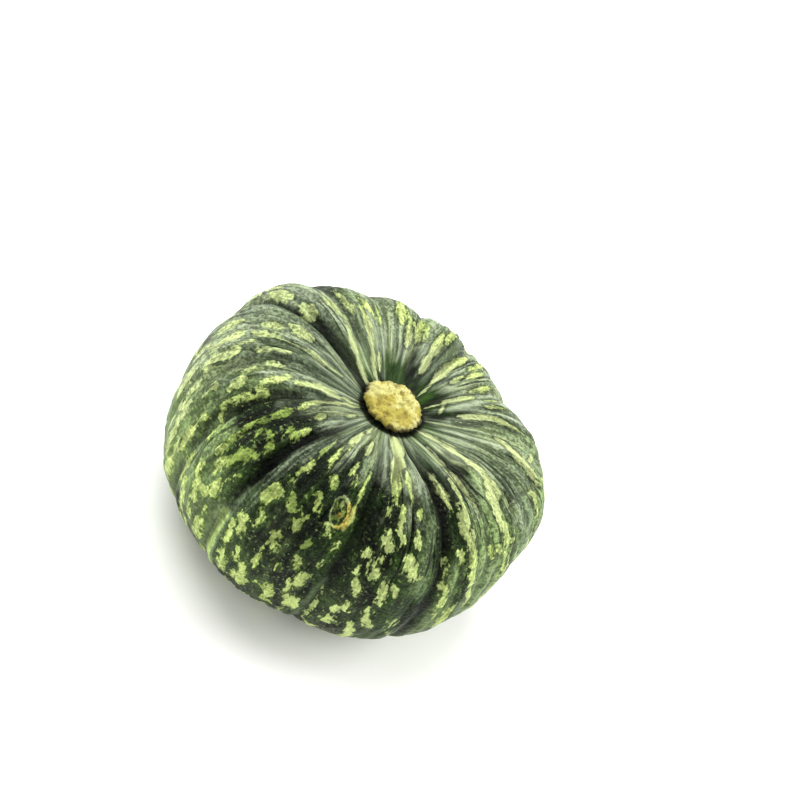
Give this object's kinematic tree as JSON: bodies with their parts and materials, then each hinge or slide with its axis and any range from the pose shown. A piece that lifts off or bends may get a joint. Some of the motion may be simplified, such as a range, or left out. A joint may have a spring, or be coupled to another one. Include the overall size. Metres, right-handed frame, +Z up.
{
  "type": "kabocha squash",
  "caption": "Kabocha squash standing on its blossom end: a flattened, lobed, dark green body with a corky cut stem in the hollow on top.",
  "frame": {"origin": "on the surface that the squash stands on, under the middle of its body", "axes": "+Z up along the stem; -Y towards the side with the small round scar; +X to the right of that side"},
  "size_m": [0.1882, 0.1794, 0.1129],
  "materials": {
    "skin": "hard waxy rind, dark green with pale yellow-green streaks and flecks",
    "cork": "dry, granular, corky"
  },
  "bodies": {
    "root": {"squash_body": "skin", "stem": "cork"}
  },
  "joints": []
}
